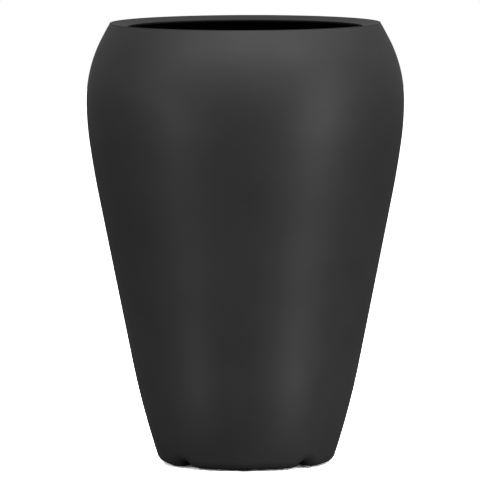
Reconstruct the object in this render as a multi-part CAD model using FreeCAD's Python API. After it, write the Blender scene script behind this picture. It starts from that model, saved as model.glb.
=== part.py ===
import FreeCAD, Part
import os
from math import acos, atan2, cos, degrees, hypot, pi, radians, sin, tan

# Tall round fibreglass planter, in millimetres. +Z is up, the ground is z = 0 and the axis of
# the planter is the Z axis. The front is -Y.
#
# The outside is one smooth line turned about the axis: a straight rim run, a shoulder arc, the
# belly, two long arcs, a straight flank, one more long arc, a straight foot run and the round
# bottom corner. Each stretch is tangent to the next.

# ---- outside form -------------------------------------------------------------------------
overall_height = 914.0
belly_radius = 328.2
rim_run = 34.5                 # straight stretch just under the rim edge
shoulder_radius = 278.0
upper_flank_radius = 610.0
upper_flank_turn = 8.0         # degrees that each stretch below the belly turns further in
middle_flank_radius = 2066.0
middle_flank_turn = 3.25
lower_flank_radius = 1638.0
lower_flank_turn = 6.45
foot_run = 34.0                # straight stretch down to the sole, before the corner is rounded
corner_radius = 24.0           # roll of the outside into the sole

# ---- laminate and joints ------------------------------------------------------------------
wall = 6.0                     # hand-laid laminate
bond_line = 0.3                # adhesive between bonded mouldings

# ---- feet and the recess under the base ---------------------------------------------------
foot_count = 4
pad_thickness = 3.0
pad_radius = 15.0
arch_width = 64.0              # each scallop between two feet, measured on the sole
arch_height = 15.0
arch_flare_radius = 32.0       # where the sole lifts into the scallop
recess_radius = 118.0
recess_depth = 18.0
recess_draft = 8.0             # degrees, so that the moulding leaves its mould

# ---- rim ----------------------------------------------------------------------------------
mouth_radius = 243.7
lip_width = 35.8               # level width of the lip band, from the mouth to the rim edge
lip_drop = 7.9                 # fall of the lip band from its outer to its inner edge
lip_thickness = 5.0
lip_edge_round = 1.5
lip_flange_depth = 28.0        # bonding flange of the lip, down the inside of the wall
core_leg = 18.0                # legs of the three-sided foam core in the corner under the lip

# ---- floor --------------------------------------------------------------------------------
floor_core_thickness = 12.0
floor_core_gap = 0.8           # play of the core board inside the wall
tray_thickness = 5.0
tray_flange_height = 55.0      # how far the floor laminate runs up the wall
tray_corner_radius = 12.0

# ---- drain --------------------------------------------------------------------------------
drain_bore_radius = 12.5
sleeve_wall = 3.0
sleeve_clearance = 0.4         # between the sleeve and the holes it passes through
flange_radius = 28.0
flange_thickness = 3.0
gasket_thickness = 2.0
nut_sides = 6
nut_across_flats = 46.0
nut_thickness = 7.0
nut_clearance = 0.1
sleeve_below_nut = 2.0

# ---- lift-out stopper ---------------------------------------------------------------------
stopper_clearance = 0.3        # between the stopper's stem and the bore
seat_gap = 0.3                 # between the stopper's seal and the flange at rest
seal_thickness = 2.0
seal_radius = 19.0
seal_clearance = 0.1
head_radius = 22.0
head_thickness = 5.0
head_round = 1.5
stem_length = 18.0             # below the seal
stem_chamfer = 1.5
grip_length = 30.0
grip_width = 6.0
grip_height = 14.0
grip_round = 2.0

# ---- sizes that follow --------------------------------------------------------------------
rim_radius = mouth_radius + lip_width
shoulder_turn = degrees(acos((shoulder_radius + rim_radius - belly_radius) / hypot(shoulder_radius, rim_run))
                        - atan2(rim_run, shoulder_radius))   # from upright at the rim edge
flank_lean = upper_flank_turn + middle_flank_turn
foot_lean = flank_lean + lower_flank_turn
belly_height = (overall_height - shoulder_radius * sin(radians(shoulder_turn))
                - rim_run * cos(radians(shoulder_turn)))
arcs_height = (upper_flank_radius * sin(radians(upper_flank_turn))
               + middle_flank_radius * (sin(radians(flank_lean)) - sin(radians(upper_flank_turn)))
               + lower_flank_radius * (sin(radians(foot_lean)) - sin(radians(flank_lean))))
straight_flank = ((belly_height - pad_thickness - arcs_height - foot_run * cos(radians(foot_lean)))
                  / cos(radians(flank_lean)))
lip_slope = degrees(atan2(lip_drop, lip_width))
recess_top = pad_thickness + recess_depth
base_top = recess_top + wall
core_bottom = base_top + bond_line
core_top = core_bottom + floor_core_thickness
tray_bottom = core_top + bond_line
tray_top = tray_bottom + tray_thickness
flange_bottom = tray_top + gasket_thickness
flange_top = flange_bottom + flange_thickness
sleeve_radius = drain_bore_radius + sleeve_wall
passage_radius = sleeve_radius + sleeve_clearance
stem_radius = drain_bore_radius - stopper_clearance
reach = belly_radius * 2       # longer than any section that is cut with a block
hair = 0.01                    # how near an edge lies to the place where it is looked up
spare = corner_radius          # how far a cutting form runs past what it cuts

up = FreeCAD.Vector(0, 0, 1)
origin = FreeCAD.Vector(0, 0, 0)


def at(radius, z):
    """A point of a turned section, in the XZ half plane."""
    return FreeCAD.Vector(radius, 0, z)


def line(a, b):
    return Part.LineSegment(a, b).toShape()


def arc_down(start, radius, lean_from, lean_to):
    """An arc that leaves start leaning lean_from degrees inward and ends leaning lean_to."""
    def along(lean):
        a = radians(lean)
        b = radians(lean_from)
        return at(start.x - radius * (cos(b) - cos(a)), start.z - radius * (sin(a) - sin(b)))
    end = along(lean_to)
    middle = along((lean_from + lean_to) / 2)
    return Part.Arc(start, middle, end).toShape(), end


def straight_down(start, length, lean):
    end = at(start.x - length * sin(radians(lean)), start.z - length * cos(radians(lean)))
    return line(start, end), end


def turned(edges):
    """The solid that a closed section makes when it turns about the axis."""
    face = Part.Face(Part.Wire(Part.__sortEdges__(edges)))
    return face.revolve(origin, up, 360)


def polygon(points):
    return [line(a, b) for a, b in zip(points, points[1:] + points[:1])]


def ring(inner_radius, outer_radius, bottom, top):
    return turned(polygon([at(inner_radius, bottom), at(outer_radius, bottom),
                           at(outer_radius, top), at(inner_radius, top)]))


def disc(radius, bottom, top):
    return Part.makeCylinder(radius, top - bottom, at(0, bottom), up)


def outline(inset, past_sole, past_rim):
    """The outside line moved in by inset, from past the sole up to past the rim edge."""
    belly = at(belly_radius - inset, belly_height)
    upper, p = arc_down(belly, upper_flank_radius - inset, 0, upper_flank_turn)
    middle, p = arc_down(p, middle_flank_radius - inset, upper_flank_turn, flank_lean)
    flank, p = straight_down(p, straight_flank, flank_lean)
    lower, p = arc_down(p, lower_flank_radius - inset, flank_lean, foot_lean)
    drop = p.z - pad_thickness + past_sole
    foot, foot_end = straight_down(p, drop / cos(radians(foot_lean)), foot_lean)
    shoulder, q = arc_down(belly, shoulder_radius - inset, 0, -shoulder_turn)
    rim, rim_end = straight_down(q, -rim_run - past_rim, -shoulder_turn)
    return [foot, lower, flank, middle, upper, shoulder, rim], foot_end, rim_end


def turned_form(inset, past_rim=0.0):
    """The outside form moved in by inset, running on below the sole, with no feet yet."""
    edges, foot_end, rim_end = outline(inset, spare, past_rim)
    crown = at(0, rim_end.z)
    if past_rim == 0.0:
        crown = at(0, rim_end.z - rim_end.x * tan(radians(lip_slope)))
    heel = at(0, foot_end.z)
    return turned(edges + [line(rim_end, crown), line(crown, heel), line(heel, foot_end)])


def sole_block(inset, azimuth):
    """What lies under the sole in one quarter: flat, with a bell-shaped scallop in the middle."""
    half = arch_width / 2
    flare = arch_flare_radius - inset
    centres = (half ** 2 + arch_height ** 2) / (2 * arch_height)
    crown = centres - arch_flare_radius + inset
    sole = pad_thickness + inset
    flare_z = pad_thickness + arch_flare_radius
    crown_z = pad_thickness + arch_height - (centres - arch_flare_radius)
    tilt = atan2(half, flare_z - crown_z)

    def on_crown(angle):
        return FreeCAD.Vector(0, crown * sin(angle), crown_z + crown * cos(angle))

    def on_flare(side, angle):
        return FreeCAD.Vector(0, side * (half - flare * sin(angle)), flare_z - flare * cos(angle))

    def floor_point(y, z):
        return FreeCAD.Vector(0, y, z)

    edges = [Part.Arc(on_crown(-tilt), on_crown(0), on_crown(tilt)).toShape()]
    for side in (-1, 1):
        edges.append(Part.Arc(on_crown(side * tilt), on_flare(side, tilt / 2),
                              on_flare(side, 0)).toShape())
        edges.append(line(on_flare(side, 0), floor_point(side * reach, sole)))
        edges.append(line(floor_point(side * reach, sole), floor_point(side * reach, -2 * spare)))
    edges.append(line(floor_point(-reach, -2 * spare), floor_point(reach, -2 * spare)))
    section = Part.Face(Part.Wire(Part.__sortEdges__(edges)))
    block = section.extrude(FreeCAD.Vector(reach, 0, 0))
    quarter = Part.makeBox(reach, reach, 6 * spare, FreeCAD.Vector(0, 0, -3 * spare))
    quarter.rotate(origin, up, -180 / foot_count)
    block = block.common(quarter)
    block.rotate(origin, up, azimuth)
    return block


def bottom_corner(solid, inset):
    """The edges where the foot run meets the soles and scallops."""
    _, foot_end, _ = outline(inset, spare, 0.0)
    lean = tan(radians(foot_lean))
    found = []
    for edge in solid.Edges:
        first, last = edge.ParameterRange
        points = [edge.valueAt(first + (last - first) * k / 4) for k in range(5)]
        if any(p.z > pad_thickness + inset + arch_height + 1 for p in points):
            continue
        if all(abs(hypot(p.x, p.y) - foot_end.x - (p.z - foot_end.z) * lean) < hair for p in points):
            found.append(edge)
    return found


def moulded_form(inset, past_rim=0.0):
    """The outside form moved in by inset all over: turned body, feet, round corner and recess."""
    form = turned_form(inset, past_rim)
    for k in range(foot_count):
        form = form.cut(sole_block(inset, (k + 0.5) * 360 / foot_count))
    form = form.removeSplitter()
    form = form.makeFillet(corner_radius - inset, bottom_corner(form, inset))
    side = tan(radians(recess_draft))
    mouth = recess_radius + inset / cos(radians(recess_draft))
    top = recess_top + inset
    recess = turned(polygon([at(0, -spare), at(mouth + (pad_thickness + spare) * side, -spare),
                             at(mouth - (top - pad_thickness) * side, top), at(0, top)]))
    return form.cut(recess)


def planter_shell():
    """The laminate: the outside form less the same form moved in by the wall."""
    shell = moulded_form(0.0).cut(moulded_form(wall, spare))
    return shell.cut(disc(passage_radius, 0, core_bottom))


def wall_point(inset, down):
    """A point of the rim section: inset from the outside face, down along it from the edge."""
    lean = radians(shoulder_turn)
    return at(rim_radius + down * sin(lean) - inset * cos(lean),
              overall_height - down * cos(lean) - inset * sin(lean))


def lip_point(inset, below):
    """A point of the rim section: inset from the outside face, below the lip's upper face."""
    corner = radians(shoulder_turn - lip_slope)
    return wall_point(inset, (below - inset * sin(corner)) / cos(corner))


def rim_lip():
    """The sloping band, with a flange that laps down inside the wall and is bonded to it."""
    outside = wall + bond_line
    inside = outside + lip_thickness
    edge_top = overall_height - lip_drop
    edge_bottom = edge_top - lip_thickness / cos(radians(lip_slope))
    lip = turned(polygon([lip_point(outside, 0), at(mouth_radius, edge_top),
                          at(mouth_radius, edge_bottom), lip_point(inside, lip_thickness),
                          wall_point(inside, lip_flange_depth),
                          wall_point(outside, lip_flange_depth)]))
    return lip.makeFillet(lip_edge_round, rings_at(lip, mouth_radius, (edge_top, edge_bottom)))


def rim_core():
    """The three-sided foam ring that fills the corner between the lip and its flange."""
    inset = wall + lip_thickness + 2 * bond_line
    corner = lip_point(inset, lip_thickness + bond_line)
    slope = radians(lip_slope)
    lean = radians(shoulder_turn)
    under_lip = at(corner.x - core_leg * cos(slope), corner.z - core_leg * sin(slope))
    down_wall = at(corner.x + core_leg * sin(lean), corner.z - core_leg * cos(lean))
    return turned(polygon([corner, under_lip, down_wall]))


def rings_at(solid, radius, heights):
    """The circular edges of a turned solid at a radius and at any of some heights."""
    found = []
    for edge in solid.Edges:
        if not isinstance(edge.Curve, Part.Circle):
            continue
        centre = edge.Curve.Center
        if abs(edge.Curve.Radius - radius) < hair and any(abs(centre.z - z) < hair for z in heights):
            found.append(edge)
    return found


def floor_core():
    """The board that carries the soil, cut to the inside of the shell and bedded on its base."""
    slab = disc(reach, core_bottom, core_top)
    board = moulded_form(wall + floor_core_gap).common(slab)
    board = board.fuse(disc(recess_radius + wall, core_bottom, core_top))
    return board.removeSplitter().cut(drain_passage())


def drain_passage():
    return disc(passage_radius, 0, flange_top)


def floor_tray():
    """The laminate over the board, turned up against the wall all round."""
    flange_end = tray_top + tray_flange_height
    outside = turned_form(wall + bond_line).common(disc(reach, tray_bottom, flange_end))
    hollow = turned_form(wall + bond_line + tray_thickness)
    hollow = hollow.common(disc(reach, tray_top, overall_height))
    floor_edge = [e for e in hollow.Edges if abs(e.BoundBox.ZMax - tray_top) < hair]
    hollow = hollow.makeFillet(tray_corner_radius, floor_edge)
    return outside.cut(hollow).cut(drain_passage())


def drain_bushing():
    """The flanged sleeve that lines the drain hole."""
    sleeve_end = recess_top - nut_thickness - sleeve_below_nut
    bushing = ring(drain_bore_radius, sleeve_radius, sleeve_end, flange_top)
    return bushing.fuse(ring(sleeve_radius - sleeve_wall / 2, flange_radius,
                             flange_bottom, flange_top)).removeSplitter()


def drain_gasket():
    """The washer that the flange presses onto the floor."""
    return ring(passage_radius, flange_radius, tray_top, flange_bottom)


def drain_locknut():
    """The nut that draws the sleeve down from under the base."""
    corners = nut_across_flats / 2 / cos(pi / nut_sides)
    around = [2 * pi * k / nut_sides for k in range(nut_sides)]
    bottom = recess_top - nut_thickness
    sides = polygon([FreeCAD.Vector(corners * cos(a), corners * sin(a), bottom) for a in around])
    nut = Part.Face(Part.Wire(sides)).extrude(FreeCAD.Vector(0, 0, nut_thickness))
    return nut.cut(disc(sleeve_radius + nut_clearance, 0, recess_top))


def drain_plug():
    """The stopper: a stem in the bore, a head on the seal and a bar to pull it by."""
    seal_bottom = flange_top + seat_gap
    head_bottom = seal_bottom + seal_thickness
    head_top = head_bottom + head_thickness
    stem_end = seal_bottom - stem_length
    stem = disc(stem_radius, stem_end, head_bottom)
    stem = stem.makeChamfer(stem_chamfer, rings_at(stem, stem_radius, (stem_end,)))
    head = disc(head_radius, head_bottom, head_top)
    head = head.makeFillet(head_round, rings_at(head, head_radius, (head_top,)))
    grip = Part.makeBox(grip_length, grip_width, grip_height + head_thickness,
                        FreeCAD.Vector(-grip_length / 2, -grip_width / 2, head_bottom))
    rounded = [e for e in grip.Edges if e.BoundBox.ZMax > head_top]
    grip = grip.makeFillet(grip_round, rounded)
    return stem.fuse(head).fuse(grip).removeSplitter()


def plug_seal():
    """The rubber ring under the stopper's head."""
    bottom = flange_top + seat_gap
    return ring(stem_radius + seal_clearance, seal_radius, bottom, bottom + seal_thickness)


def foot_pad(azimuth):
    """A rubber pad stuck in the middle of one foot's sole."""
    _, foot_end, _ = outline(0.0, 0.0, 0.0)
    contact = foot_end.x - corner_radius * tan(radians((90 - foot_lean) / 2))
    middle = (recess_radius + contact) / 2
    pad = disc(pad_radius, 0, pad_thickness)
    pad.translate(FreeCAD.Vector(middle, 0, 0))
    pad.rotate(origin, up, azimuth)
    return pad


parts = {
    "planter_shell": planter_shell(),
    "rim_lip": rim_lip(),
    "rim_core": rim_core(),
    "floor_core": floor_core(),
    "floor_tray": floor_tray(),
    "drain_bushing": drain_bushing(),
    "drain_gasket": drain_gasket(),
    "drain_locknut": drain_locknut(),
    "drain_plug": drain_plug(),
    "plug_seal": plug_seal(),
}
for k, side_name in enumerate(["right", "back", "left", "front"]):
    parts["foot_pad_" + side_name] = foot_pad(k * 360 / foot_count)

os.makedirs("parts", exist_ok=True)
for name, shape in parts.items():
    box = shape.BoundBox
    print("%-15s %d solid, valid %s, %.1f cm3, z %.1f to %.1f" % (
        name, len(shape.Solids), shape.isValid(), shape.Volume / 1000, box.ZMin, box.ZMax))
    shape.exportStep("parts/%s.step" % name)
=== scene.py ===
# %% [markdown]
# # A tall fibreglass planter
# The real object is a hand-laid fibreglass vessel, about waist high: one smooth turned line from
# a crisp mouth over a shoulder and a belly down to a narrow foot, sprayed with matt charcoal
# gelcoat. The construction model already holds every piece at its real size, so this lesson
# only gives the pieces their finished surfaces. It starts by loading that model as a frame that
# never moves.

# %% Load the frame
from math import acos, asin, atan2, cos, degrees, hypot, pi, radians, sin, tan

import bmesh
import bpy
from mathutils import Matrix, Vector


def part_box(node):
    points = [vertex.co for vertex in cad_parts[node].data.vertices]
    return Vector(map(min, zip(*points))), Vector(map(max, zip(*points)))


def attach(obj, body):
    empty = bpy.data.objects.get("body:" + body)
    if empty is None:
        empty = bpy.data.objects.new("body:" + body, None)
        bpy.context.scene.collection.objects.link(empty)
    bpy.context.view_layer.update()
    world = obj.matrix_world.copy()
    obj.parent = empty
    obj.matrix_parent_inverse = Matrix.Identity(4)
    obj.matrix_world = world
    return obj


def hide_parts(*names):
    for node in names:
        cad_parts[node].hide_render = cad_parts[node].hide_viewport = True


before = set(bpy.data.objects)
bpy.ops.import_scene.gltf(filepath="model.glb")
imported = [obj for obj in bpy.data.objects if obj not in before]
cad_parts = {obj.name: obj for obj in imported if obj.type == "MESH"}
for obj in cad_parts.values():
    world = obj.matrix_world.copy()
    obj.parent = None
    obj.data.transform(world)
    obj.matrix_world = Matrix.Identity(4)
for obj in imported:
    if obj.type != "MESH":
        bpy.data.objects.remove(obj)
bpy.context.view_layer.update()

print("pieces in the frame:", ", ".join(sorted(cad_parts)))

# %% [markdown]
# ## Sizes
# The planter's maker would give a handful of sizes: how high, how wide at the belly, how wide
# at the mouth, and the radii of the long arcs between them. They could be measured off the
# frame's meshes, but a mesh only has corners where it was cut into triangles. So the overall
# height and the belly come from the frame's boxes, and the radii are written here in
# millimetres, the unit of the workshop. MM turns them into metres when a mesh is made.

# %% Sizes of the outside line, in millimetres
MM = 0.001
wall_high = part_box("planter_shell")[1]
overall_height = wall_high[2] / MM
belly_radius = wall_high[0] / MM
pad_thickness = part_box("foot_pad_front")[1][2] / MM
mouth_radius = 243.7
lip_width = 35.8
lip_drop = 7.9
rim_run = 34.5
shoulder_radius = 278.0
upper_flank_radius, upper_flank_turn = 610.0, 8.0
middle_flank_radius, middle_flank_turn = 2066.0, 3.25
lower_flank_radius, lower_flank_turn = 1638.0, 6.45
foot_run = 34.0
wall = 6.0
print("height %.1f mm, belly radius %.1f mm" % (overall_height, belly_radius))

# %% Sizes that follow from them
rim_radius = mouth_radius + lip_width
lip_slope = degrees(atan2(lip_drop, lip_width))
turned_in = (shoulder_radius + rim_radius - belly_radius) / hypot(shoulder_radius, rim_run)
shoulder_turn = degrees(acos(turned_in) - atan2(rim_run, shoulder_radius))
flank_lean = upper_flank_turn + middle_flank_turn
foot_lean = flank_lean + lower_flank_turn
belly_height = (overall_height - shoulder_radius * sin(radians(shoulder_turn))
                - rim_run * cos(radians(shoulder_turn)))
arcs_height = (upper_flank_radius * sin(radians(upper_flank_turn))
               + middle_flank_radius * (sin(radians(flank_lean)) - sin(radians(upper_flank_turn)))
               + lower_flank_radius * (sin(radians(foot_lean)) - sin(radians(flank_lean))))
straight_flank = ((belly_height - pad_thickness - arcs_height - foot_run * cos(radians(foot_lean)))
                  / cos(radians(flank_lean)))
print("rim radius %.1f mm, shoulder turns %.2f degrees, belly at %.1f mm, straight flank %.1f mm" % (
    rim_radius, shoulder_turn, belly_height, straight_flank))

# %% [markdown]
# ## The outside line
# Everything round on this planter is cut from one line, so the line is a function. It walks
# down from the rim edge, stretch by stretch, and each stretch starts at the lean at which the
# last one ended, which is what keeps the light running over the surface without a break.
# Moved in by the wall it is also the inside of the laminate. A long arc needs only a few
# points, because smooth shading bridges small turns: the tight shoulder gets the most.

# %% Walk down the outside line
ARC_FINENESS = 16  # an arc gets turn in degrees times root of radius in mm over this many pieces


def outline(inset, coarseness):
    """(radius, height) pairs in mm from the rim edge to the foot, moved in by inset."""
    lean = radians(shoulder_turn)
    at = [rim_radius - inset * cos(lean), overall_height - inset * sin(lean)]
    points = []

    def straight(length, lean_now, pieces):
        for k in range(1, pieces + 1):
            points.append((at[0] - length * sin(radians(lean_now)) * k / pieces,
                           at[1] - length * cos(radians(lean_now)) * k / pieces))
        at[:] = points[-1]

    def arc(radius, lean_from, lean_to):
        pieces = max(4, round(abs(lean_to - lean_from) * radius ** 0.5 / ARC_FINENESS / coarseness))
        for k in range(1, pieces + 1):
            a = radians(lean_from + (lean_to - lean_from) * k / pieces)
            b = radians(lean_from)
            points.append((at[0] - radius * (cos(b) - cos(a)), at[1] - radius * (sin(a) - sin(b))))
        at[:] = points[-1]

    straight(rim_run, -shoulder_turn, 3)
    arc(shoulder_radius - inset, -shoulder_turn, 0)
    arc(upper_flank_radius - inset, 0, upper_flank_turn)
    arc(middle_flank_radius - inset, upper_flank_turn, flank_lean)
    straight(straight_flank, flank_lean, round(6 / coarseness))
    arc(lower_flank_radius - inset, flank_lean, foot_lean)
    return points


print("outline points: %d outside, %d inside" % (len(outline(0, 1)), len(outline(wall, 2))))
foot_ring = outline(0, 1)[-1]
print("the outside line ends at radius %.2f, height %.2f mm" % foot_ring)

# %% [markdown]
# ## Helpers: nodes, colours, finished pieces
# Materials and Geometry Nodes trees are both node trees, so one small function adds a node to
# either: it sets the node's settings and fills each input with a number or with a link. A
# second function turns a colour written as sRGB hex into the linear numbers that Blender
# calculates with. A third runs a tree on a mesh and keeps the plain mesh that comes out. The
# tree could stay live as a modifier, but a finished part is easier to trust when it is only
# a mesh: nothing in it can change any more.

# %% Add a node
def add(tree, kind, links=None, **settings):
    """A new node in a tree, with its settings made and each named input filled or linked."""
    node = tree.nodes.new(kind)
    for name, value in settings.items():
        setattr(node, name, value)
    for name, value in (links or {}).items():
        if isinstance(value, bpy.types.NodeSocket):
            tree.links.new(value, node.inputs[name])
        else:
            node.inputs[name].default_value = value
    return node


# %% Turn an sRGB hex colour to linear
def linear(hex_colour):
    """(r, g, b, 1) in linear light for a colour such as "2D2D2E"."""
    parts = [int(hex_colour[k:k + 2], 16) / 255 for k in (0, 2, 4)]
    return [c / 12.92 if c <= 0.04045 else ((c + 0.055) / 1.055) ** 2.4 for c in parts] + [1.0]


print("charcoal in linear light:", [round(c, 4) for c in linear("2D2D2E")])


# %% Run a Geometry Nodes tree and keep its mesh
SHARP_TURN = radians(32)  # an edge that turns more than this stays crisp
SAME_POINT = 0.001 * MM  # points nearer than this are one point
SAME_SEAM = 0.01 * MM  # and so are points nearer than this where two copies meet


def new_tree(name, inputs):
    """A Geometry Nodes tree with one geometry in, named inputs and one geometry out."""
    tree = bpy.data.node_groups.new(name, "GeometryNodeTree")
    tree.interface.new_socket("Geometry", in_out="INPUT", socket_type="NodeSocketGeometry")
    for label, kind in inputs:
        tree.interface.new_socket(label, in_out="INPUT", socket_type="NodeSocket" + kind)
    tree.interface.new_socket("Geometry", in_out="OUTPUT", socket_type="NodeSocketGeometry")
    return tree


def clean(mesh):
    """Closes seams and poles, turns the faces outward and shades all but crisp edges smooth."""
    work = bmesh.new()
    work.from_mesh(mesh)
    bmesh.ops.remove_doubles(work, verts=work.verts, dist=SAME_POINT)
    bmesh.ops.dissolve_degenerate(work, edges=work.edges, dist=SAME_POINT)
    bmesh.ops.recalc_face_normals(work, faces=work.faces)
    if work.calc_volume(signed=True) < 0:
        bmesh.ops.reverse_faces(work, faces=work.faces)
    open_edges = sum(1 for edge in work.edges if not edge.is_manifold)
    volume = work.calc_volume(signed=True)
    work.to_mesh(mesh)
    work.free()
    mesh.shade_smooth()
    mesh.set_sharp_from_angle(angle=SHARP_TURN)
    return open_edges, volume


def grown(name, tree, start, **inputs):
    """The plain mesh object that a tree makes of a start mesh."""
    seed = bpy.data.objects.new(name + "_seed", start)
    bpy.context.scene.collection.objects.link(seed)
    modifier = seed.modifiers.new("grow", "NODES")
    modifier.node_group = tree
    for item in tree.interface.items_tree:
        label = item.name.lower().replace(" ", "_")
        if item.in_out == "INPUT" and label in inputs:
            modifier[item.identifier] = inputs[label]
    bpy.context.view_layer.update()
    view = bpy.context.evaluated_depsgraph_get()
    mesh = bpy.data.meshes.new_from_object(seed.evaluated_get(view), depsgraph=view)
    bpy.data.objects.remove(seed)
    return finished(name, mesh)


def finished(name, mesh):
    """A cleaned object at the origin that holds the mesh."""
    mesh.name = name
    if mesh.materials and mesh.materials[0] is None:
        mesh.materials.pop(index=0)  # the trees leave an empty slot before the first material
    open_edges, volume = clean(mesh)
    piece = bpy.data.objects.new(name, mesh)
    bpy.context.scene.collection.objects.link(piece)
    triangles = sum(len(face.vertices) - 2 for face in mesh.polygons)
    in_cm3 = volume / MM ** 3 / 1000
    print("%s: %d triangles, %d open edges, %.1f cm3" % (name, triangles, open_edges, in_cm3))
    return piece


# %% [markdown]
# ## Two trees for round things
# A lathe turns a section about an axis. Blender's Screw modifier does that too, and so does
# bmesh's spin, but a small tree says the rule in the open: a grid with one row for each point
# of the section and one column for each step round the axis, every grid point moved to where
# its section point stands and turned to its column's angle. The second tree repeats what a
# planter has several times round its axis, such as its feet.

# %% The turning tree
def turning_tree():
    tree = new_tree("turned section", [("Steps", "Int"), ("Finish", "Material")])
    given = add(tree, "NodeGroupInput").outputs
    count = add(tree, "GeometryNodeAttributeDomainSize", {"Geometry": given["Geometry"]},
                component="MESH").outputs["Point Count"]
    columns = add(tree, "ShaderNodeMath", {0: given["Steps"], 1: 1.0}, operation="ADD")
    grid = add(tree, "GeometryNodeMeshGrid", {"Vertices X": columns.outputs[0], "Vertices Y": count})
    index = add(tree, "GeometryNodeInputIndex").outputs["Index"]
    share = add(tree, "ShaderNodeMath", {0: index, 1: count}, operation="DIVIDE").outputs[0]
    column = add(tree, "ShaderNodeMath", {0: share}, operation="FLOOR").outputs[0]
    row = add(tree, "ShaderNodeMath", {0: index, 1: count}, operation="MODULO").outputs[0]
    whole_turns = add(tree, "ShaderNodeMath", {0: column, 1: given["Steps"]}, operation="DIVIDE")
    angle = add(tree, "ShaderNodeMath", {0: whole_turns.outputs[0], 1: 2 * pi}, operation="MULTIPLY")
    position = add(tree, "GeometryNodeInputPosition").outputs["Position"]
    section = add(tree, "GeometryNodeSampleIndex",
                  {"Geometry": given["Geometry"], "Value": position, "Index": row},
                  data_type="FLOAT_VECTOR").outputs["Value"]
    turned = add(tree, "ShaderNodeVectorRotate", {"Vector": section, "Angle": angle.outputs[0]},
                 rotation_type="Z_AXIS").outputs["Vector"]
    placed = add(tree, "GeometryNodeSetPosition",
                 {"Geometry": grid.outputs["Mesh"], "Position": turned}).outputs["Geometry"]
    closed = add(tree, "GeometryNodeMergeByDistance",
                 {"Geometry": placed, "Distance": SAME_POINT}).outputs["Geometry"]
    real = add(tree, "GeometryNodeRealizeInstances", {"Geometry": closed}).outputs["Geometry"]
    dressed = add(tree, "GeometryNodeSetMaterial", {"Geometry": real, "Material": given["Finish"]})
    add(tree, "NodeGroupOutput", {"Geometry": dressed.outputs["Geometry"]})
    return tree


TURNING = turning_tree()
print("turning tree:", len(TURNING.nodes), "nodes")


# %% Turn a section on the lathe
def lathe(name, section, steps, finish, closed=True):
    """The object that a section's points make when turned, the first repeated if it is closed."""
    points = list(section) + [section[0]] * closed
    mesh = bpy.data.meshes.new(name + "_section")
    mesh.from_pydata([(r * MM, 0, z * MM) for r, z in points], [], [])
    return grown(name, TURNING, mesh, steps=steps, finish=finish)


# %% The tree that repeats round the axis
def repeating_tree():
    tree = new_tree("repeated round the axis", [("Copies", "Int"), ("Finish", "Material"),
                                                ("Lining", "Material")])
    given = add(tree, "NodeGroupInput").outputs
    points = add(tree, "GeometryNodePoints", {"Count": given["Copies"]}).outputs[0]
    index = add(tree, "GeometryNodeInputIndex").outputs["Index"]
    share = add(tree, "ShaderNodeMath", {0: index, 1: given["Copies"]}, operation="DIVIDE").outputs[0]
    angle = add(tree, "ShaderNodeMath", {0: share, 1: 2 * pi}, operation="MULTIPLY").outputs[0]
    turn = add(tree, "ShaderNodeCombineXYZ", {"Z": angle}).outputs["Vector"]
    copies = add(tree, "GeometryNodeInstanceOnPoints",
                 {"Points": points, "Instance": given["Geometry"], "Rotation": turn}).outputs[0]
    real = add(tree, "GeometryNodeRealizeInstances", {"Geometry": copies}).outputs["Geometry"]
    closed = add(tree, "GeometryNodeMergeByDistance",
                 {"Geometry": real, "Distance": SAME_SEAM}).outputs["Geometry"]
    outside = add(tree, "GeometryNodeSetMaterial",
                  {"Geometry": closed, "Material": given["Finish"]}).outputs["Geometry"]
    is_lining = add(tree, "GeometryNodeInputNamedAttribute", {"Name": "lining"},
                    data_type="BOOLEAN").outputs["Attribute"]
    lined = add(tree, "GeometryNodeSetMaterial",
                {"Geometry": outside, "Selection": is_lining, "Material": given["Lining"]})
    add(tree, "NodeGroupOutput", {"Geometry": lined.outputs["Geometry"]})
    return tree


REPEATING = repeating_tree()
print("repeating tree:", len(REPEATING.nodes), "nodes")

# %% [markdown]
# ## Finishes
# Each material is named for what the real one is, and starts from what making it does to the
# surface. All patterns read Object coordinates. Every piece stands at the origin, so these are
# the planter's own metres, and a grain of so many millimetres is one divided by that many.

# %% Start a material
def new_material(name):
    """An empty material: its node tree and its Principled surface, wired to the output."""
    material = bpy.data.materials.new(name)
    material.use_nodes = True
    tree = material.node_tree
    tree.nodes.clear()
    surface = add(tree, "ShaderNodeBsdfPrincipled")
    add(tree, "ShaderNodeOutputMaterial", {"Surface": surface.outputs["BSDF"]})
    return material, tree, surface


def per_metre(size_in_mm):
    """The scale at which a texture repeats once in so many millimetres."""
    return 1 / (size_in_mm * MM)


# %% Let a colour drift
CLOUD_RANGE = (0.32, 0.68)  # nearly all of a noise lies between these


def drifting(tree, place, patch, dark, pale):
    """A colour that drifts between two sRGB colours over patches of so many millimetres."""
    cloud = add(tree, "ShaderNodeTexNoise", {"Vector": place, "Scale": per_metre(patch), "Detail": 3.0})
    pigment = add(tree, "ShaderNodeValToRGB", {"Fac": cloud.outputs["Fac"]})
    for stop, share, colour in zip(pigment.color_ramp.elements, CLOUD_RANGE, (dark, pale)):
        stop.position = share
        stop.color = linear(colour)
    return pigment.outputs["Color"]


# %% [markdown]
# ### Matt charcoal gelcoat
# Gelcoat is the pigmented polyester that is sprayed into the mould before the glass, so the
# planter leaves the mould already coloured. Here it was cut back to a matt finish, which
# spreads every reflection so wide that the body reads as one soft gradient. Two things keep it
# from looking like paint on a computer: a faint unevenness of the pigment over a hand's width
# and the shallow orange peel of the spray. The real peel is finer than two millimetres and
# would vanish in the picture, so it is drawn at three.

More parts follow.
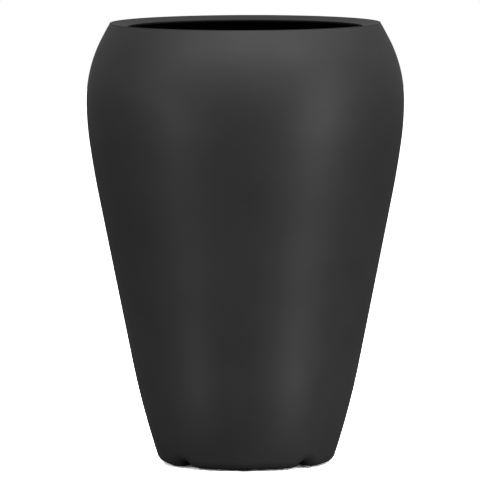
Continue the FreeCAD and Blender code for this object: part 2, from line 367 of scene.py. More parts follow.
# %% Matt charcoal gelcoat
def charcoal_gelcoat():
    material, tree, surface = new_material("matt charcoal gelcoat")
    place = add(tree, "ShaderNodeTexCoord").outputs["Object"]
    colour = drifting(tree, place, 110, "292929", "2D2D2E")
    rub = add(tree, "ShaderNodeTexNoise", {"Vector": place, "Scale": per_metre(28), "Detail": 4.0})
    matt = add(tree, "ShaderNodeMapRange",
               {"Value": rub.outputs["Fac"], "To Min": 0.47, "To Max": 0.53})
    peel = add(tree, "ShaderNodeTexNoise",
               {"Vector": place, "Scale": per_metre(3.0), "Detail": 2.0, "Roughness": 0.4})
    wave = add(tree, "ShaderNodeTexNoise", {"Vector": place, "Scale": per_metre(85), "Detail": 1.0})
    waves = add(tree, "ShaderNodeBump",
                {"Height": wave.outputs["Fac"], "Strength": 1.0, "Distance": 0.08 * MM})
    skin = add(tree, "ShaderNodeBump",
               {"Height": peel.outputs["Fac"], "Strength": 1.0, "Distance": 0.02 * MM,
                "Normal": waves.outputs["Normal"]})
    tree.links.new(colour, surface.inputs["Base Color"])
    tree.links.new(matt.outputs["Result"], surface.inputs["Roughness"])
    tree.links.new(skin.outputs["Normal"], surface.inputs["Normal"])
    surface.inputs["IOR"].default_value = 1.5
    surface.inputs["Specular IOR Level"].default_value = 0.3
    return material


GELCOAT = charcoal_gelcoat()
print("made", GELCOAT.name)

# %% [markdown]
# ### Black flow-coat over glass mat
# Inside, the last coat is rolled over the chopped glass by hand. The resin settles into the
# mat, so the bundles of strands still print through as a random felt of short ridges. Nobody
# polishes it, and from outside the mouth it must read as plain black.

# %% Black flow-coat over glass mat
def flow_coat():
    material, tree, surface = new_material("black flow coat on glass mat")
    place = add(tree, "ShaderNodeTexCoord").outputs["Object"]
    colour = drifting(tree, place, 60, "070707", "0D0D0D")
    strands = add(tree, "ShaderNodeTexNoise",
                  {"Vector": place, "Scale": per_metre(16), "Detail": 5.0, "Roughness": 0.7,
                   "Distortion": 3.0})
    resin = add(tree, "ShaderNodeTexNoise", {"Vector": place, "Scale": per_metre(45), "Detail": 1.0})
    pools = add(tree, "ShaderNodeBump",
                {"Height": resin.outputs["Fac"], "Strength": 1.0, "Distance": 0.8 * MM})
    felt = add(tree, "ShaderNodeBump",
               {"Height": strands.outputs["Fac"], "Strength": 1.0, "Distance": 0.5 * MM,
                "Normal": pools.outputs["Normal"]})
    tree.links.new(colour, surface.inputs["Base Color"])
    tree.links.new(felt.outputs["Normal"], surface.inputs["Normal"])
    surface.inputs["Roughness"].default_value = 0.62
    surface.inputs["Specular IOR Level"].default_value = 0.15
    return material


FLOW_COAT = flow_coat()
print("made", FLOW_COAT.name)

# %% [markdown]
# ### Moulded PVC and nitrile rubber
# The drain sleeve, its nut and the stopper are injection moulded in black PVC. The steel mould
# was spark eroded, which leaves a fine even grain and a low sheen. The washer, the stopper's
# seal and the pads are nitrile rubber, which is duller and a little greyer where it is rubbed.
# Both grains are about a fifth of a millimetre across and are drawn coarser, so that they show.

# %% Moulded PVC
def moulded_pvc():
    material, tree, surface = new_material("spark grained black PVC")
    place = add(tree, "ShaderNodeTexCoord").outputs["Object"]
    colour = drifting(tree, place, 18, "151617", "1B1C1E")
    grain = add(tree, "ShaderNodeTexVoronoi", {"Vector": place, "Scale": per_metre(0.7)})
    skin = add(tree, "ShaderNodeBump",
               {"Height": grain.outputs["Distance"], "Strength": 1.0, "Distance": 0.03 * MM})
    tree.links.new(colour, surface.inputs["Base Color"])
    tree.links.new(skin.outputs["Normal"], surface.inputs["Normal"])
    surface.inputs["Roughness"].default_value = 0.42
    surface.inputs["IOR"].default_value = 1.53
    return material


PVC = moulded_pvc()
print("made", PVC.name)


# %% Nitrile rubber
def nitrile_rubber():
    material, tree, surface = new_material("moulded nitrile rubber")
    place = add(tree, "ShaderNodeTexCoord").outputs["Object"]
    colour = drifting(tree, place, 9, "0C0C0C", "151515")
    grain = add(tree, "ShaderNodeTexNoise", {"Vector": place, "Scale": per_metre(1.0), "Detail": 3.0})
    skin = add(tree, "ShaderNodeBump",
               {"Height": grain.outputs["Fac"], "Strength": 1.0, "Distance": 0.06 * MM})
    rubbed = add(tree, "ShaderNodeMapRange",
                 {"Value": grain.outputs["Fac"], "To Min": 0.68, "To Max": 0.82})
    tree.links.new(colour, surface.inputs["Base Color"])
    tree.links.new(rubbed.outputs["Result"], surface.inputs["Roughness"])
    tree.links.new(skin.outputs["Normal"], surface.inputs["Normal"])
    surface.inputs["IOR"].default_value = 1.52
    return material


RUBBER = nitrile_rubber()
print("made", RUBBER.name)

# %% [markdown]
# ### Plywood and foam
# Marine plywood is veneers glued crosswise: long pores run over its face, and its edge shows a
# stack of pale and dark lines, one veneer each. The stiffening ring under the lip is closed-cell
# foam with a black coat brushed over it, thin enough that the cells still pit the surface.

# %% Sealed marine plywood
def marine_plywood():
    veneer = 1.5
    one_band = pi / 10  # a wave texture of scale 1 repeats in this length
    material, tree, surface = new_material("sealed marine plywood")
    place = add(tree, "ShaderNodeTexCoord").outputs["Object"]
    along = add(tree, "ShaderNodeMapping", {"Vector": place, "Scale": (0.06, 1.0, 1.0)}).outputs["Vector"]
    face = drifting(tree, along, 6, "8A6238", "B48A58")
    stack = add(tree, "ShaderNodeTexWave",
                {"Vector": place, "Scale": one_band * per_metre(2 * veneer), "Distortion": 0.4},
                wave_type="BANDS", bands_direction="Z")
    colour = add(tree, "ShaderNodeMix", {"Factor": stack.outputs["Fac"], 6: face, 7: linear("6E4A29")},
                 data_type="RGBA")
    pores = add(tree, "ShaderNodeTexNoise", {"Vector": along, "Scale": per_metre(1.2), "Detail": 4.0})
    skin = add(tree, "ShaderNodeBump",
               {"Height": pores.outputs["Fac"], "Strength": 1.0, "Distance": 0.08 * MM})
    tree.links.new(colour.outputs[2], surface.inputs["Base Color"])
    tree.links.new(skin.outputs["Normal"], surface.inputs["Normal"])
    surface.inputs["Roughness"].default_value = 0.4
    return material


PLYWOOD = marine_plywood()
print("made", PLYWOOD.name)


# %% Coated foam
def coated_foam():
    material, tree, surface = new_material("flow coated closed cell foam")
    place = add(tree, "ShaderNodeTexCoord").outputs["Object"]
    colour = drifting(tree, place, 25, "080808", "101010")
    cells = add(tree, "ShaderNodeTexVoronoi", {"Vector": place, "Scale": per_metre(2.2)},
                feature="SMOOTH_F1")
    skin = add(tree, "ShaderNodeBump",
               {"Height": cells.outputs["Distance"], "Strength": 1.0, "Distance": 0.35 * MM})
    tree.links.new(colour, surface.inputs["Base Color"])
    tree.links.new(skin.outputs["Normal"], surface.inputs["Normal"])
    surface.inputs["Roughness"].default_value = 0.58
    return material


FOAM = coated_foam()
print("made", FOAM.name)

# %% [markdown]
# ## The moulded wall
# The shell is a turned form whose foot is not round: its rolled corner runs over four shallow
# scallops. Cutting scallops with a Boolean and rounding them with a Bevel modifier leaves long
# thin faces just where the light rolls under. A closer way is to ask how the pattern maker
# makes that corner: a ball of the corner's radius is rolled along, touching the flank and the
# sole at once. Where the ball's centre goes is easy to write down, and the corner is then an
# arc about each centre, from one touching point to the other. The same centres serve the
# inside, with a smaller ball, because the wall is the same all over.

# %% Sizes of the foot, in millimetres
corner_radius = 24.0
foot_count = 4
arch_width = 64.0
arch_height = 15.0
arch_flare_radius = 32.0
recess_radius = 118.0
recess_depth = 18.0
recess_draft = 8.0
drain_passage_radius = 15.9

half_arch = arch_width / 2
both_radii = (half_arch ** 2 + arch_height ** 2) / (2 * arch_height)
crown_radius = both_radii - arch_flare_radius
crown_z = pad_thickness + arch_height - crown_radius
flare_z = pad_thickness + arch_flare_radius
arch_tilt = atan2(half_arch, flare_z - crown_z)
print("scallop: crown radius %.1f mm, steepest at %.1f degrees" % (crown_radius, degrees(arch_tilt)))


# %% Roll the ball round one quarter
CROWN_STEPS, FLARE_STEPS, SOLE_STEPS = 7, 6, 22


def foot_radius(z):
    """Radius of the straight foot run at a height."""
    return foot_ring[0] + (z - foot_ring[1]) * tan(radians(foot_lean))


def recess_edge(z, inset):
    draft = radians(recess_draft)
    return recess_radius + inset / cos(draft) - (z - pad_thickness) * tan(draft)


def ball_centres():
    """(azimuth, centre, slope) from the middle of a scallop to the middle of a foot."""
    track = []
    for k in range(CROWN_STEPS):
        slope = arch_tilt * k / CROWN_STEPS
        reach = crown_radius + corner_radius
        track.append((reach * sin(slope), crown_z + reach * cos(slope), slope))
    for k in range(FLARE_STEPS + 1):
        slope = arch_tilt * (1 - k / FLARE_STEPS)
        reach = arch_flare_radius - corner_radius
        track.append((half_arch - reach * sin(slope), flare_z - reach * cos(slope), slope))
    found = []
    for across, z, slope in track:
        radius = foot_radius(z) - corner_radius / cos(radians(foot_lean))
        found.append((asin(across / radius), radius, z, slope))
    last = found[-1]
    for k in range(1, SOLE_STEPS + 1):
        azimuth = last[0] + (pi / foot_count - last[0]) * k / SOLE_STEPS
        found.append((azimuth, last[1], last[2], 0.0))
    mirrored = [(-azimuth, radius, z, -slope) for azimuth, radius, z, slope in reversed(found[1:])]
    return mirrored + found


CENTRES = ball_centres()
print("%d columns in a quarter" % len(CENTRES))


# %% Rows of points over the foot
def swing(start, end, share):
    """The unit direction a share of the way round from start to end."""
    turn = start.angle(end)
    return (start * sin((1 - share) * turn) + end * sin(share * turn)) / sin(turn)


def foot_rows(inset, above, rows_up, rows_round, rows_in):
    """Rows from just under the point above, round the corner and in over sole and recess."""
    lean = radians(foot_lean)
    ball = corner_radius - inset
    sole_edge = asin(half_arch / recess_edge(pad_thickness + inset, inset))
    first_foot = CENTRES[len(CENTRES) // 2 + CROWN_STEPS + FLARE_STEPS][0]
    columns = []
    for azimuth, radius, z, slope in CENTRES:
        centre = Vector((radius * cos(azimuth), radius * sin(azimuth), z))
        to_flank = Vector((cos(lean) * cos(azimuth), cos(lean) * sin(azimuth), -sin(lean)))
        to_sole = Vector((0, -sin(slope), -cos(slope)))
        start = Vector((above[0] * cos(azimuth), above[0] * sin(azimuth), above[1]))
        touch = centre + ball * to_flank
        column = [start.lerp(touch, k / rows_up) for k in range(1, rows_up)]
        column += [centre + ball * swing(to_flank, to_sole, k / rows_round) for k in range(rows_round + 1)]
        sole = column[-1]
        end_radius = recess_edge(sole.z, inset)
        if abs(azimuth) <= first_foot:
            end_azimuth = asin(sole.y / end_radius)
        else:
            share = (abs(azimuth) - first_foot) / (pi / foot_count - first_foot)
            end_azimuth = (sole_edge + share * (pi / foot_count - sole_edge)) * (1 if azimuth > 0 else -1)
        around = Vector((cos(end_azimuth), sin(end_azimuth), 0))
        edge = around * end_radius + Vector((0, 0, sole.z))
        column += [sole.lerp(edge, k / rows_in) for k in range(1, rows_in + 1)]
        top = pad_thickness + recess_depth + inset
        ceiling = around * recess_edge(top, inset) + Vector((0, 0, top))
        column += [edge.lerp(ceiling, k / rows_in) for k in range(1, rows_in + 1)]
        hole = around * drain_passage_radius + Vector((0, 0, top))
        column += [ceiling.lerp(hole, k / rows_in) for k in range(1, rows_in + 1)]
        columns.append(column)
    return [list(row) for row in zip(*columns)]


def turned_rows(points):
    """A row round the quarter for each (radius, height) pair."""
    return [[Vector((r * cos(azimuth), r * sin(azimuth), z)) for azimuth, _, _, _ in CENTRES]
            for r, z in points]


# %% Join the rows into one quarter and set it four times round
rim_edge_round = 0.9


def wall_point(inset, down):
    """(radius, height) inset from the outside face, down along it from the rim edge."""
    lean = radians(shoulder_turn)
    return (rim_radius + down * sin(lean) - inset * cos(lean),
            overall_height - down * cos(lean) - inset * sin(lean))


def lip_point(inset, below):
    """(radius, height) inset from the outside face, below the lip's upper face."""
    corner = radians(shoulder_turn - lip_slope)
    return wall_point(inset, (below - inset * sin(corner)) / cos(corner))


def rounded(corners, steps=4):
    """The closed outline of a section, where each corner is (radius, height, round)."""
    points = []
    for k, (x, y, bend) in enumerate(corners):
        here = Vector((x, y))
        back = (Vector(corners[k - 1][:2]) - here).normalized()
        onward = (Vector(corners[(k + 1) % len(corners)][:2]) - here).normalized()
        if bend == 0:
            points.append((x, y))
            continue
        half = back.angle(onward) / 2
        centre = here + (back + onward).normalized() * bend / sin(half)
        first = (here + back * bend / tan(half) - centre) / bend
        last = (here + onward * bend / tan(half) - centre) / bend
        points += [tuple(centre + bend * swing(first, last, s / steps)) for s in range(steps + 1)]
    return points


def wall_quarter():
    """One quarter of the moulded wall, outside, rim edge, inside and foot, as a mesh."""
    outside = outline(0, 1)
    inside = outline(wall, 2)
    top_inner = lip_point(wall, 0)
    rim = rounded([(*outside[0], 0), (rim_radius, overall_height, rim_edge_round), (*top_inner, 0)])
    outer_foot = foot_rows(0, outside[-1], 4, 14, 5)
    inner_foot = foot_rows(wall, inside[-1], 2, 5, 2)
    rows = turned_rows(rim[1:-1] + outside) + outer_foot
    lining_from = len(rows)
    rows += inner_foot[::-1] + turned_rows(inside[::-1] + [top_inner])
    across = len(CENTRES)
    vertices = [tuple(point * MM) for row in rows for point in row]
    faces, is_lining = [], []
    for k in range(len(rows)):
        onward = (k + 1) % len(rows)
        for j in range(across - 1):
            faces.append((k * across + j, k * across + j + 1, onward * across + j + 1, onward * across + j))
            is_lining.append(lining_from <= k < len(rows) - 1)
    mesh = bpy.data.meshes.new("wall_quarter")
    mesh.from_pydata(vertices, [], faces)
    mesh.attributes.new("lining", "BOOLEAN", "FACE").data.foreach_set("value", is_lining)
    mesh.transform(Matrix.Rotation(pi / foot_count, 4, "Z"))
    return mesh


moulded_wall = grown("moulded_wall", REPEATING, wall_quarter(),
                     copies=foot_count, finish=GELCOAT, lining=FLOW_COAT)
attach(moulded_wall, "planter")
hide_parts("planter_shell")

# %% [markdown]
# ## The lip band
# A planter like this gets its thin, crisp mouth from a second moulding: a ring that slopes
# inward and down from the rim edge, turns under at the mouth and has a flange bonded inside the
# wall. It is round all over, so it is turned. The glue line at the rim is filled and sanded on
# the real one, so here the ring reaches right up to the wall and no seam shows.

# %% Turn the lip band
lip_thickness = 5.0
lip_edge_round = 1.5
lip_back_round = 4.0
lip_flange_depth = 28.0
lip_flange_round = 1.0
BAND_STEPS = 6


def lip_section():
    inner_side = wall + lip_thickness
    edge_top = overall_height - lip_drop
    edge_bottom = edge_top - lip_thickness / cos(radians(lip_slope))
    band_start = lip_point(wall, 0)
    band = [(band_start[0] + (mouth_radius - band_start[0]) * k / BAND_STEPS,
             band_start[1] + (edge_top - band_start[1]) * k / BAND_STEPS, 0)
            for k in range(BAND_STEPS)]
    corners = band + [(mouth_radius, edge_top, lip_edge_round),
                      (mouth_radius, edge_bottom, lip_edge_round),
                      (*lip_point(inner_side, lip_thickness), lip_back_round),
                      (*wall_point(inner_side, lip_flange_depth), lip_flange_round),
                      (*wall_point(wall, lip_flange_depth), 0)]
    return rounded(corners)


lip_band = lathe("lip_band", lip_section(), 288, GELCOAT)
# The gelcoat ends where the lip was trimmed, and the lip's edge and back, every face that does not point
# up, take the black flow coat of the inside. On the back that is the real coat; on the trimmed edge it is
# painted shade, so that the mouth is black from its very edge down.
UPPER_SIDE = 0.6  # a face of the lip's upper side points up at least this much
lip_band.data.materials.append(FLOW_COAT)
coated = [face for face in lip_band.data.polygons if face.normal.z < UPPER_SIDE]
for face in coated:
    face.material_index = lip_band.data.materials.find(FLOW_COAT.name)
print("%d of %d faces of the lip are flow coated" % (len(coated), len(lip_band.data.polygons)))
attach(lip_band, "planter")
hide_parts("rim_lip")

# %% [markdown]
# ## The floor laminate
# Over the plywood board the floor is laminated as a shallow tray that runs a hand's width up
# the wall. Its edge is feathered by hand, so the top of the flange is drawn to a thin round
# lip against the wall.

# %% Turn the floor laminate
tray_low, tray_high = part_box("floor_tray")
tray_thickness = 5.0
tray_corner_radius = 12.0
tray_bottom = tray_low[2] / MM
tray_top = tray_bottom + tray_thickness
tray_end = tray_high[2] / MM
tray_edge_round = 0.6
feathered_round = 2.0
FLOOR_STEPS = 8
bond_line = 0.3


def at_height(points, z):
    """Radius of the outline where it passes a height."""
    for (r0, z0), (r1, z1) in zip(points, points[1:]):
        if z1 <= z <= z0:
            return r0 + (r1 - r0) * (z - z0) / (z1 - z0)
    raise ValueError("height %s is not on the outline" % z)


def tray_section():
    back = outline(wall + bond_line, 1)
    face = outline(wall + bond_line + tray_thickness, 1)
    side = [(r, z) for r, z in face if tray_top + tray_corner_radius + 3 < z < tray_end - 4]
    against_wall = [(r, z) for r, z in reversed(back) if tray_bottom < z < tray_end - 1]
    corners = [(drain_passage_radius, tray_bottom, 0),
               (drain_passage_radius, tray_top, tray_edge_round)]
    corners += [(at_height(face, tray_top) * k / FLOOR_STEPS, tray_top, 0)
                for k in range(2, FLOOR_STEPS - 1)]
    corners += [(at_height(face, tray_top), tray_top, tray_corner_radius)]
    corners += [(r, z, 0) for r, z in reversed(side)]
    corners += [(at_height(face, tray_end), tray_end, feathered_round),
                (at_height(back, tray_end), tray_end, tray_edge_round)]
    corners += [(r, z, 0) for r, z in reversed(against_wall)]
    corners += [(at_height(back, tray_bottom), tray_bottom, 0)]
    return rounded(corners, steps=6)


floor_laminate = lathe("floor_laminate", tray_section(), 192, FLOW_COAT)
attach(floor_laminate, "planter")
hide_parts("floor_tray")

# %% [markdown]
# ## Under the lip and under the floor
# The stiffening ring is one three-sided strip of foam bent round the corner below the lip, its
# edges eased so that the laminate over it has no bubbles. It is another turned section. The
# board under the floor is closed in on all sides. The frame's own shape is right for it, so it
# stays, and only takes its wood.

# %% Turn the stiffening ring and finish the board
core_leg = 18.0


def foam_section():
    inset = wall + lip_thickness + 2 * bond_line
    corner = lip_point(inset, lip_thickness + bond_line)
    slope, lean = radians(lip_slope), radians(shoulder_turn)
    under_lip = (corner[0] - core_leg * cos(slope), corner[1] - core_leg * sin(slope))
    down_wall = (corner[0] + core_leg * sin(lean), corner[1] - core_leg * cos(lean))
    return rounded([(*corner, 0.5), (*under_lip, 1.5), (*down_wall, 1.5)])


stiffening_ring = lathe("stiffening_ring", foam_section(), 240, FOAM)
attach(stiffening_ring, "planter")
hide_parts("rim_core")
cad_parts["floor_core"].material_slots[0].material = PLYWOOD

# %% [markdown]
# ## The drain
# Water leaves through a flanged sleeve, drawn down onto a rubber washer by a nut below. All
# but the nut are turned. What makes such small mouldings look real is their edges, because a
# mould cannot have sharp ones: each corner of a section carries its own small radius, and the
# bore opens in a soft funnel. Radii and heights come from the frame's boxes.

# %% Turn the sleeve and its washer
DRAIN_STEPS = 96


def reach_of(node):
    """Outer radius, lowest and highest point of a round piece of the frame, in mm."""
    low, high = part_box(node)
    return high[0] / MM, low[2] / MM, high[2] / MM


drain_bore = 12.5
sleeve_wall = 3.0
sleeve_radius = drain_bore + sleeve_wall
flange_radius, sleeve_end, flange_top = reach_of("drain_bushing")
_, washer_bottom, washer_top = reach_of("drain_gasket")

sleeve_section = rounded([(drain_bore, sleeve_end, 0.6), (drain_bore, flange_top, 1.2),
                          (flange_radius, flange_top, 1.2), (flange_radius, washer_top, 0.4),
                          (sleeve_radius, washer_top, 0), (sleeve_radius, sleeve_end, 0.6)])
drain_sleeve = lathe("drain_sleeve", sleeve_section, DRAIN_STEPS, PVC)
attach(drain_sleeve, "planter")
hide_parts("drain_bushing")

washer_section = rounded([(drain_passage_radius, washer_bottom, 0.3),
                          (flange_radius, washer_bottom, 0.7), (flange_radius, washer_top, 0.7),
                          (drain_passage_radius, washer_top, 0.3)])
drain_washer = lathe("drain_washer", washer_section, DRAIN_STEPS, RUBBER)
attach(drain_washer, "planter")
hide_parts("drain_gasket")

# %% [markdown]
# ## The nut
# A nut is a turned piece with six flats cut into it, so its section changes as it goes round:
# it reaches furthest at the six corners. A cone of thirty degrees trims those corners above
# and below, which draws the curved edges that every nut has. Both rules fit in one formula for
# the section at an angle, and the sections are joined one to the next.

# %% Shape the nut
NUT_SIDES, NUT_STEPS = 6, 120
nut_across_flats = 46.0
nut_apothem = nut_across_flats / 2
nut_trim = 1.2
nut_chamfer = radians(30)
nut_edge = 0.3
nut_clearance = 0.1
_, nut_bottom, nut_top = reach_of("drain_locknut")


def nut_section(angle):
    """The nut's section at an angle from one of its corners: six (radius, height) pairs."""
    bore = sleeve_radius + nut_clearance
    side = 2 * pi / NUT_SIDES
    flat = nut_apothem / cos(angle % side - side / 2)
    trimmed = min(flat, nut_apothem + nut_trim)
    drop = (flat - trimmed) * tan(nut_chamfer) + nut_edge
    return [(bore, nut_bottom), (trimmed, nut_bottom), (flat, nut_bottom + drop),
            (flat, nut_top - drop), (trimmed, nut_top), (bore, nut_top)]


def nut_mesh():
    vertices, faces = [], []
    for step in range(NUT_STEPS):
        angle = 2 * pi * step / NUT_STEPS
        section = nut_section(angle)
        count = len(section)
        vertices += [(r * cos(angle) * MM, r * sin(angle) * MM, z * MM) for r, z in section]
        here, onward = step * count, (step + 1) % NUT_STEPS * count
        faces += [(here + k, onward + k, onward + (k + 1) % count, here + (k + 1) % count)
                  for k in range(count)]
    mesh = bpy.data.meshes.new("nut")
    mesh.from_pydata(vertices, [], faces)
    mesh.materials.append(PVC)
    return mesh


drain_nut = finished("drain_nut", nut_mesh())
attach(drain_nut, "planter")
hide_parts("drain_locknut")

# %% [markdown]
# ## The stopper
# The stopper drops into the sleeve by its own weight and is pulled by a bar across its head.
# Its body is turned and its bar is a block with all its edges rolled. They are one moulding, so
# a Boolean joins them into one closed skin, with no walls left inside. The seal is a ring of
# its own that lifts out with the stopper.

# %% Join body and bar
stopper_clearance = 0.3
head_height = 5.0
grip_length, grip_width, grip_round = 30.0, 6.0, 2.0
stem_radius = drain_bore - stopper_clearance
head_radius, stem_end, grip_top = reach_of("drain_plug")
seal_radius, seal_bottom, seal_top = reach_of("plug_seal")


def grip_bar():
    """The bar as an object: a block with rolled edges, rooted just inside the head."""
    root = seal_top + head_height - grip_round
    work = bmesh.new()
    bmesh.ops.create_cube(work, size=1.0)
    bmesh.ops.scale(work, vec=Vector((grip_length, grip_width, grip_top - root)) * MM, verts=work.verts)
    bmesh.ops.translate(work, vec=(0, 0, (grip_top + root) / 2 * MM), verts=work.verts)
    bmesh.ops.bevel(work, geom=work.edges, offset=grip_round * MM, segments=5, profile=0.5, affect="EDGES")
    mesh = bpy.data.meshes.new("grip_bar")
    work.to_mesh(mesh)
    work.free()
    mesh.materials.append(PVC)
    return bpy.data.objects.new("grip_bar", mesh)


body_section = rounded([(0, stem_end, 0), (stem_radius, stem_end, 1.2), (stem_radius, seal_top, 0),
                        (head_radius, seal_top, 0.5), (head_radius, seal_top + head_height, 1.5),
                        (0, seal_top + head_height, 0)])
stopper_body = lathe("stopper_body", body_section, DRAIN_STEPS, PVC, closed=False)
bar = grip_bar()
bpy.context.scene.collection.objects.link(bar)
union = stopper_body.modifiers.new("join", "BOOLEAN")
union.operation, union.solver, union.object = "UNION", "EXACT", bar
bpy.context.view_layer.update()
seen = bpy.context.evaluated_depsgraph_get()
joined = bpy.data.meshes.new_from_object(stopper_body.evaluated_get(seen), depsgraph=seen)
for scaffold in (stopper_body, bar):
    bpy.data.objects.remove(scaffold)
stopper = finished("stopper", joined)
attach(stopper, "stopper")
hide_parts("drain_plug")

# %% Turn the stopper's seal
seal_clearance = 0.1
seal_bore = stem_radius + seal_clearance
seal_section = rounded([(seal_bore, seal_bottom, 0.5), (seal_radius, seal_bottom, 0.9),
                        (seal_radius, seal_top, 0.9), (seal_bore, seal_top, 0.5)])
stopper_seal = lathe("stopper_seal", seal_section, DRAIN_STEPS, RUBBER)
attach(stopper_seal, "stopper")
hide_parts("plug_seal")

# %% [markdown]
# ## The pads
# Four rubber pads keep the laminate off the paving. They are alike and stand evenly round the
# axis, so one is turned, moved out to its foot, and repeated by the tree that repeated the
# wall's quarters.

# %% Turn one pad and repeat it
pad_low, pad_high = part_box("foot_pad_right")
pad_radius = (pad_high[0] - pad_low[0]) / 2 / MM
pad_place = (pad_high[0] + pad_low[0]) / 2
pad_section = rounded([(0, 0, 0), (pad_radius, 0, 0.8), (pad_radius, pad_thickness, 0.3),
                       (0, pad_thickness, 0)])
one_pad = lathe("one_pad", pad_section, 64, RUBBER, closed=False)
pad_mesh = one_pad.data
pad_mesh.transform(Matrix.Translation((pad_place, 0, 0)))
foot_pads = grown("foot_pads", REPEATING, pad_mesh, copies=foot_count, finish=RUBBER, lining=RUBBER)
bpy.data.objects.remove(one_pad)
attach(foot_pads, "planter")
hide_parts("foot_pad_right", "foot_pad_back", "foot_pad_left", "foot_pad_front")

# %% [markdown]
# ## Floor, light and camera
# The planter stands on a plain pale floor. To the camera the floor and the world are white, but
# only through Light Path: the light that falls on the planter stays at a plain level, at which
# a colour renders about as it is written. The floor is not simply emissive, because then it
# would glow under the foot: it is a diffuse surface that only the camera sees as brighter, so
# it clips to white in the open and still goes dark where the planter keeps the light away.
# Mirrored rays see a share of that white. They would see all of it if there were metal here,
# but a dark matt body in a full white surround takes on a milky veil along both sides.

# %% How white the surroundings are
FLOOR_BOUNCE = 0.12  # colour of the floor for the light that it throws back
FLOOR_SEEN = 6.0  # colour of the floor for the camera, enough to clip to white in the open
FLOOR_RADIUS = 12.0
FILL = 0.3  # strength of the world for light
MIRRORED_SHARE = 0.01


def whiteness(tree):
    """1 for rays that should see white, a share of it for mirrored rays, 0 for light."""
    rays = add(tree, "ShaderNodeLightPath").outputs
    mirrored = add(tree, "ShaderNodeMath", {0: rays["Is Glossy Ray"], 1: MIRRORED_SHARE},
                   operation="MULTIPLY").outputs[0]
    direct = add(tree, "ShaderNodeMath", {0: rays["Is Camera Ray"], 1: rays["Is Transmission Ray"]},
                 operation="MAXIMUM").outputs[0]
    return add(tree, "ShaderNodeMath", {0: direct, 1: mirrored}, operation="MAXIMUM").outputs[0]


# %% Floor
def studio_floor():
    material = bpy.data.materials.new("pale studio floor")
    material.use_nodes = True
    tree = material.node_tree
    tree.nodes.clear()
    tone = add(tree, "ShaderNodeMapRange",
               {"Value": whiteness(tree), "To Min": FLOOR_BOUNCE, "To Max": FLOOR_SEEN}).outputs["Result"]
    pale = add(tree, "ShaderNodeBsdfDiffuse", {"Color": tone})
    add(tree, "ShaderNodeOutputMaterial", {"Surface": pale.outputs["BSDF"]})
    return material


bpy.ops.mesh.primitive_circle_add(vertices=64, radius=FLOOR_RADIUS, fill_type="NGON")
floor = bpy.context.object
floor.name = "studio_floor"
floor.data.materials.append(studio_floor())


# %% World
def studio_world():
    world = bpy.data.worlds.new("studio")
    bpy.context.scene.world = world
    world.use_nodes = True
    tree = world.node_tree
    tree.nodes.clear()
    strength = add(tree, "ShaderNodeMapRange", {"Value": whiteness(tree), "To Min": FILL, "To Max": 1.0})
    air = add(tree, "ShaderNodeBackground",
              {"Color": (1, 1, 1, 1), "Strength": strength.outputs["Result"]})
    add(tree, "ShaderNodeOutputWorld", {"Surface": air.outputs["Background"]})


studio_world()

# %% [markdown]
# ### Lamps
# A dark round body shows its lamps as upright soft bands. The photograph has a stronger band a
# third of the way round to the right, a weaker one to the left, and a bright shoulder all the
# way across. Two softboxes below the belly make the bands, two more beside them carry the
# bands up to the shoulder, and four small ones just over the floor carry them down to the
# foot, which leans over too far to mirror the others. A half ring of high softboxes, closed by
# one overhead, lights the shoulder. A mirror turns a ray by twice the angle, so a band 25
# degrees round comes from a lamp at 50.

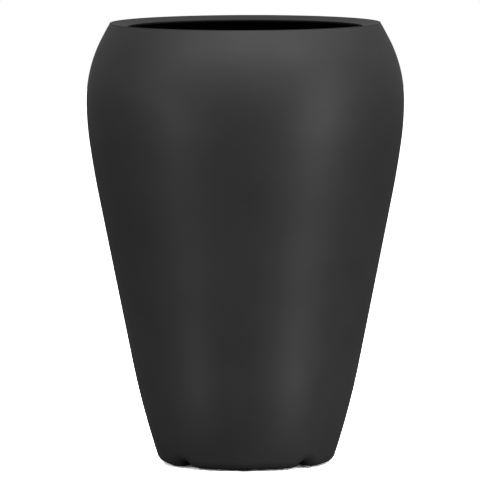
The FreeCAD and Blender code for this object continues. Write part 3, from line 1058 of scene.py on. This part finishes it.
# %% Lamps
# Name, azimuth from the front to the right in degrees, then metres: height, distance from the
# axis, width, tallness and the height it looks at. The last number is its power in watts.
LAMPS = [
    ("band_left", -46, 0.42, 2.5, 0.6, 0.8, 0.45, 8.2),
    ("band_right", 52, 0.42, 2.5, 0.6, 0.8, 0.45, 15.8),
    ("low_left", -40, 0.07, 1.0, 0.3, 0.12, 0.08, 0.36),
    ("low_right", 42, 0.07, 1.0, 0.3, 0.12, 0.08, 0.7),
    ("foot_left", -40, 0.03, 0.52, 0.2, 0.06, 0.04, 0.12),
    ("foot_right", 42, 0.03, 0.52, 0.2, 0.06, 0.04, 0.21),
    ("side_left", -60, 1.3, 2.5, 0.8, 0.8, 0.6, 4.5),
    ("side_right", 60, 1.3, 2.5, 0.8, 0.8, 0.6, 8.2),
    ("high_left", -45, 2.6, 2.0, 1.2, 1.2, 0.6, 16.6),
    ("high_front", 0, 2.6, 2.0, 1.2, 1.2, 0.6, 13.4),
    ("high_right", 45, 2.6, 2.0, 1.2, 1.2, 0.6, 21.8),
    ("high_far_right", 90, 2.6, 2.0, 1.2, 1.2, 0.6, 7.9),
    ("overhead", 0, 3.3, 0.9, 1.4, 1.4, 0.7, 22.9),
]


def soft_lamp(name, azimuth, height, distance, width, tallness, aim, power):
    """A softbox that stands round the planter and looks at its axis."""
    data = bpy.data.lights.new(name, "AREA")
    data.shape = "RECTANGLE"
    data.size, data.size_y = width, tallness
    data.energy = power
    lamp = bpy.data.objects.new(name, data)
    bpy.context.scene.collection.objects.link(lamp)
    lamp.location = (sin(radians(azimuth)) * distance, -cos(radians(azimuth)) * distance, height)
    lamp.rotation_euler = (Vector((0, 0, aim)) - lamp.location).to_track_quat("-Z", "Y").to_euler()


for row in LAMPS:
    soft_lamp(*row)
print("%d lamps, %.0f W together" % (len(LAMPS), sum(row[-1] for row in LAMPS)))

# %% Camera
# The photograph was taken with a long lens from a little above the mouth: the rim is seen
# 3.2 degrees from above and the base 6.4 degrees.
CAMERA_DISTANCE = 16.188
CAMERA_HEIGHT = 1.8305
CAMERA_AZIMUTH = 1.7
CAMERA_ROLL = -0.0028
CAMERA_LENS = 589.0
CAMERA_SHIFT = (-0.012, 0.00635)
target = Vector((0, 0, overall_height * MM / 2))
camera_data = bpy.data.cameras.new("camera")
camera_data.sensor_width = 36.0
camera_data.lens = CAMERA_LENS
camera_data.shift_x, camera_data.shift_y = CAMERA_SHIFT
camera_data.clip_end = 100.0
camera = bpy.data.objects.new("camera", camera_data)
bpy.context.scene.collection.objects.link(camera)
camera.location = (CAMERA_DISTANCE * sin(radians(CAMERA_AZIMUTH)),
                   -CAMERA_DISTANCE * cos(radians(CAMERA_AZIMUTH)), CAMERA_HEIGHT)
look = (target - camera.location).to_track_quat("-Z", "Y").to_matrix()
camera.rotation_euler = (look @ Matrix.Rotation(CAMERA_ROLL, 3, "Z")).to_euler()
bpy.context.scene.camera = camera
bpy.context.scene.view_settings.view_transform = "Standard"
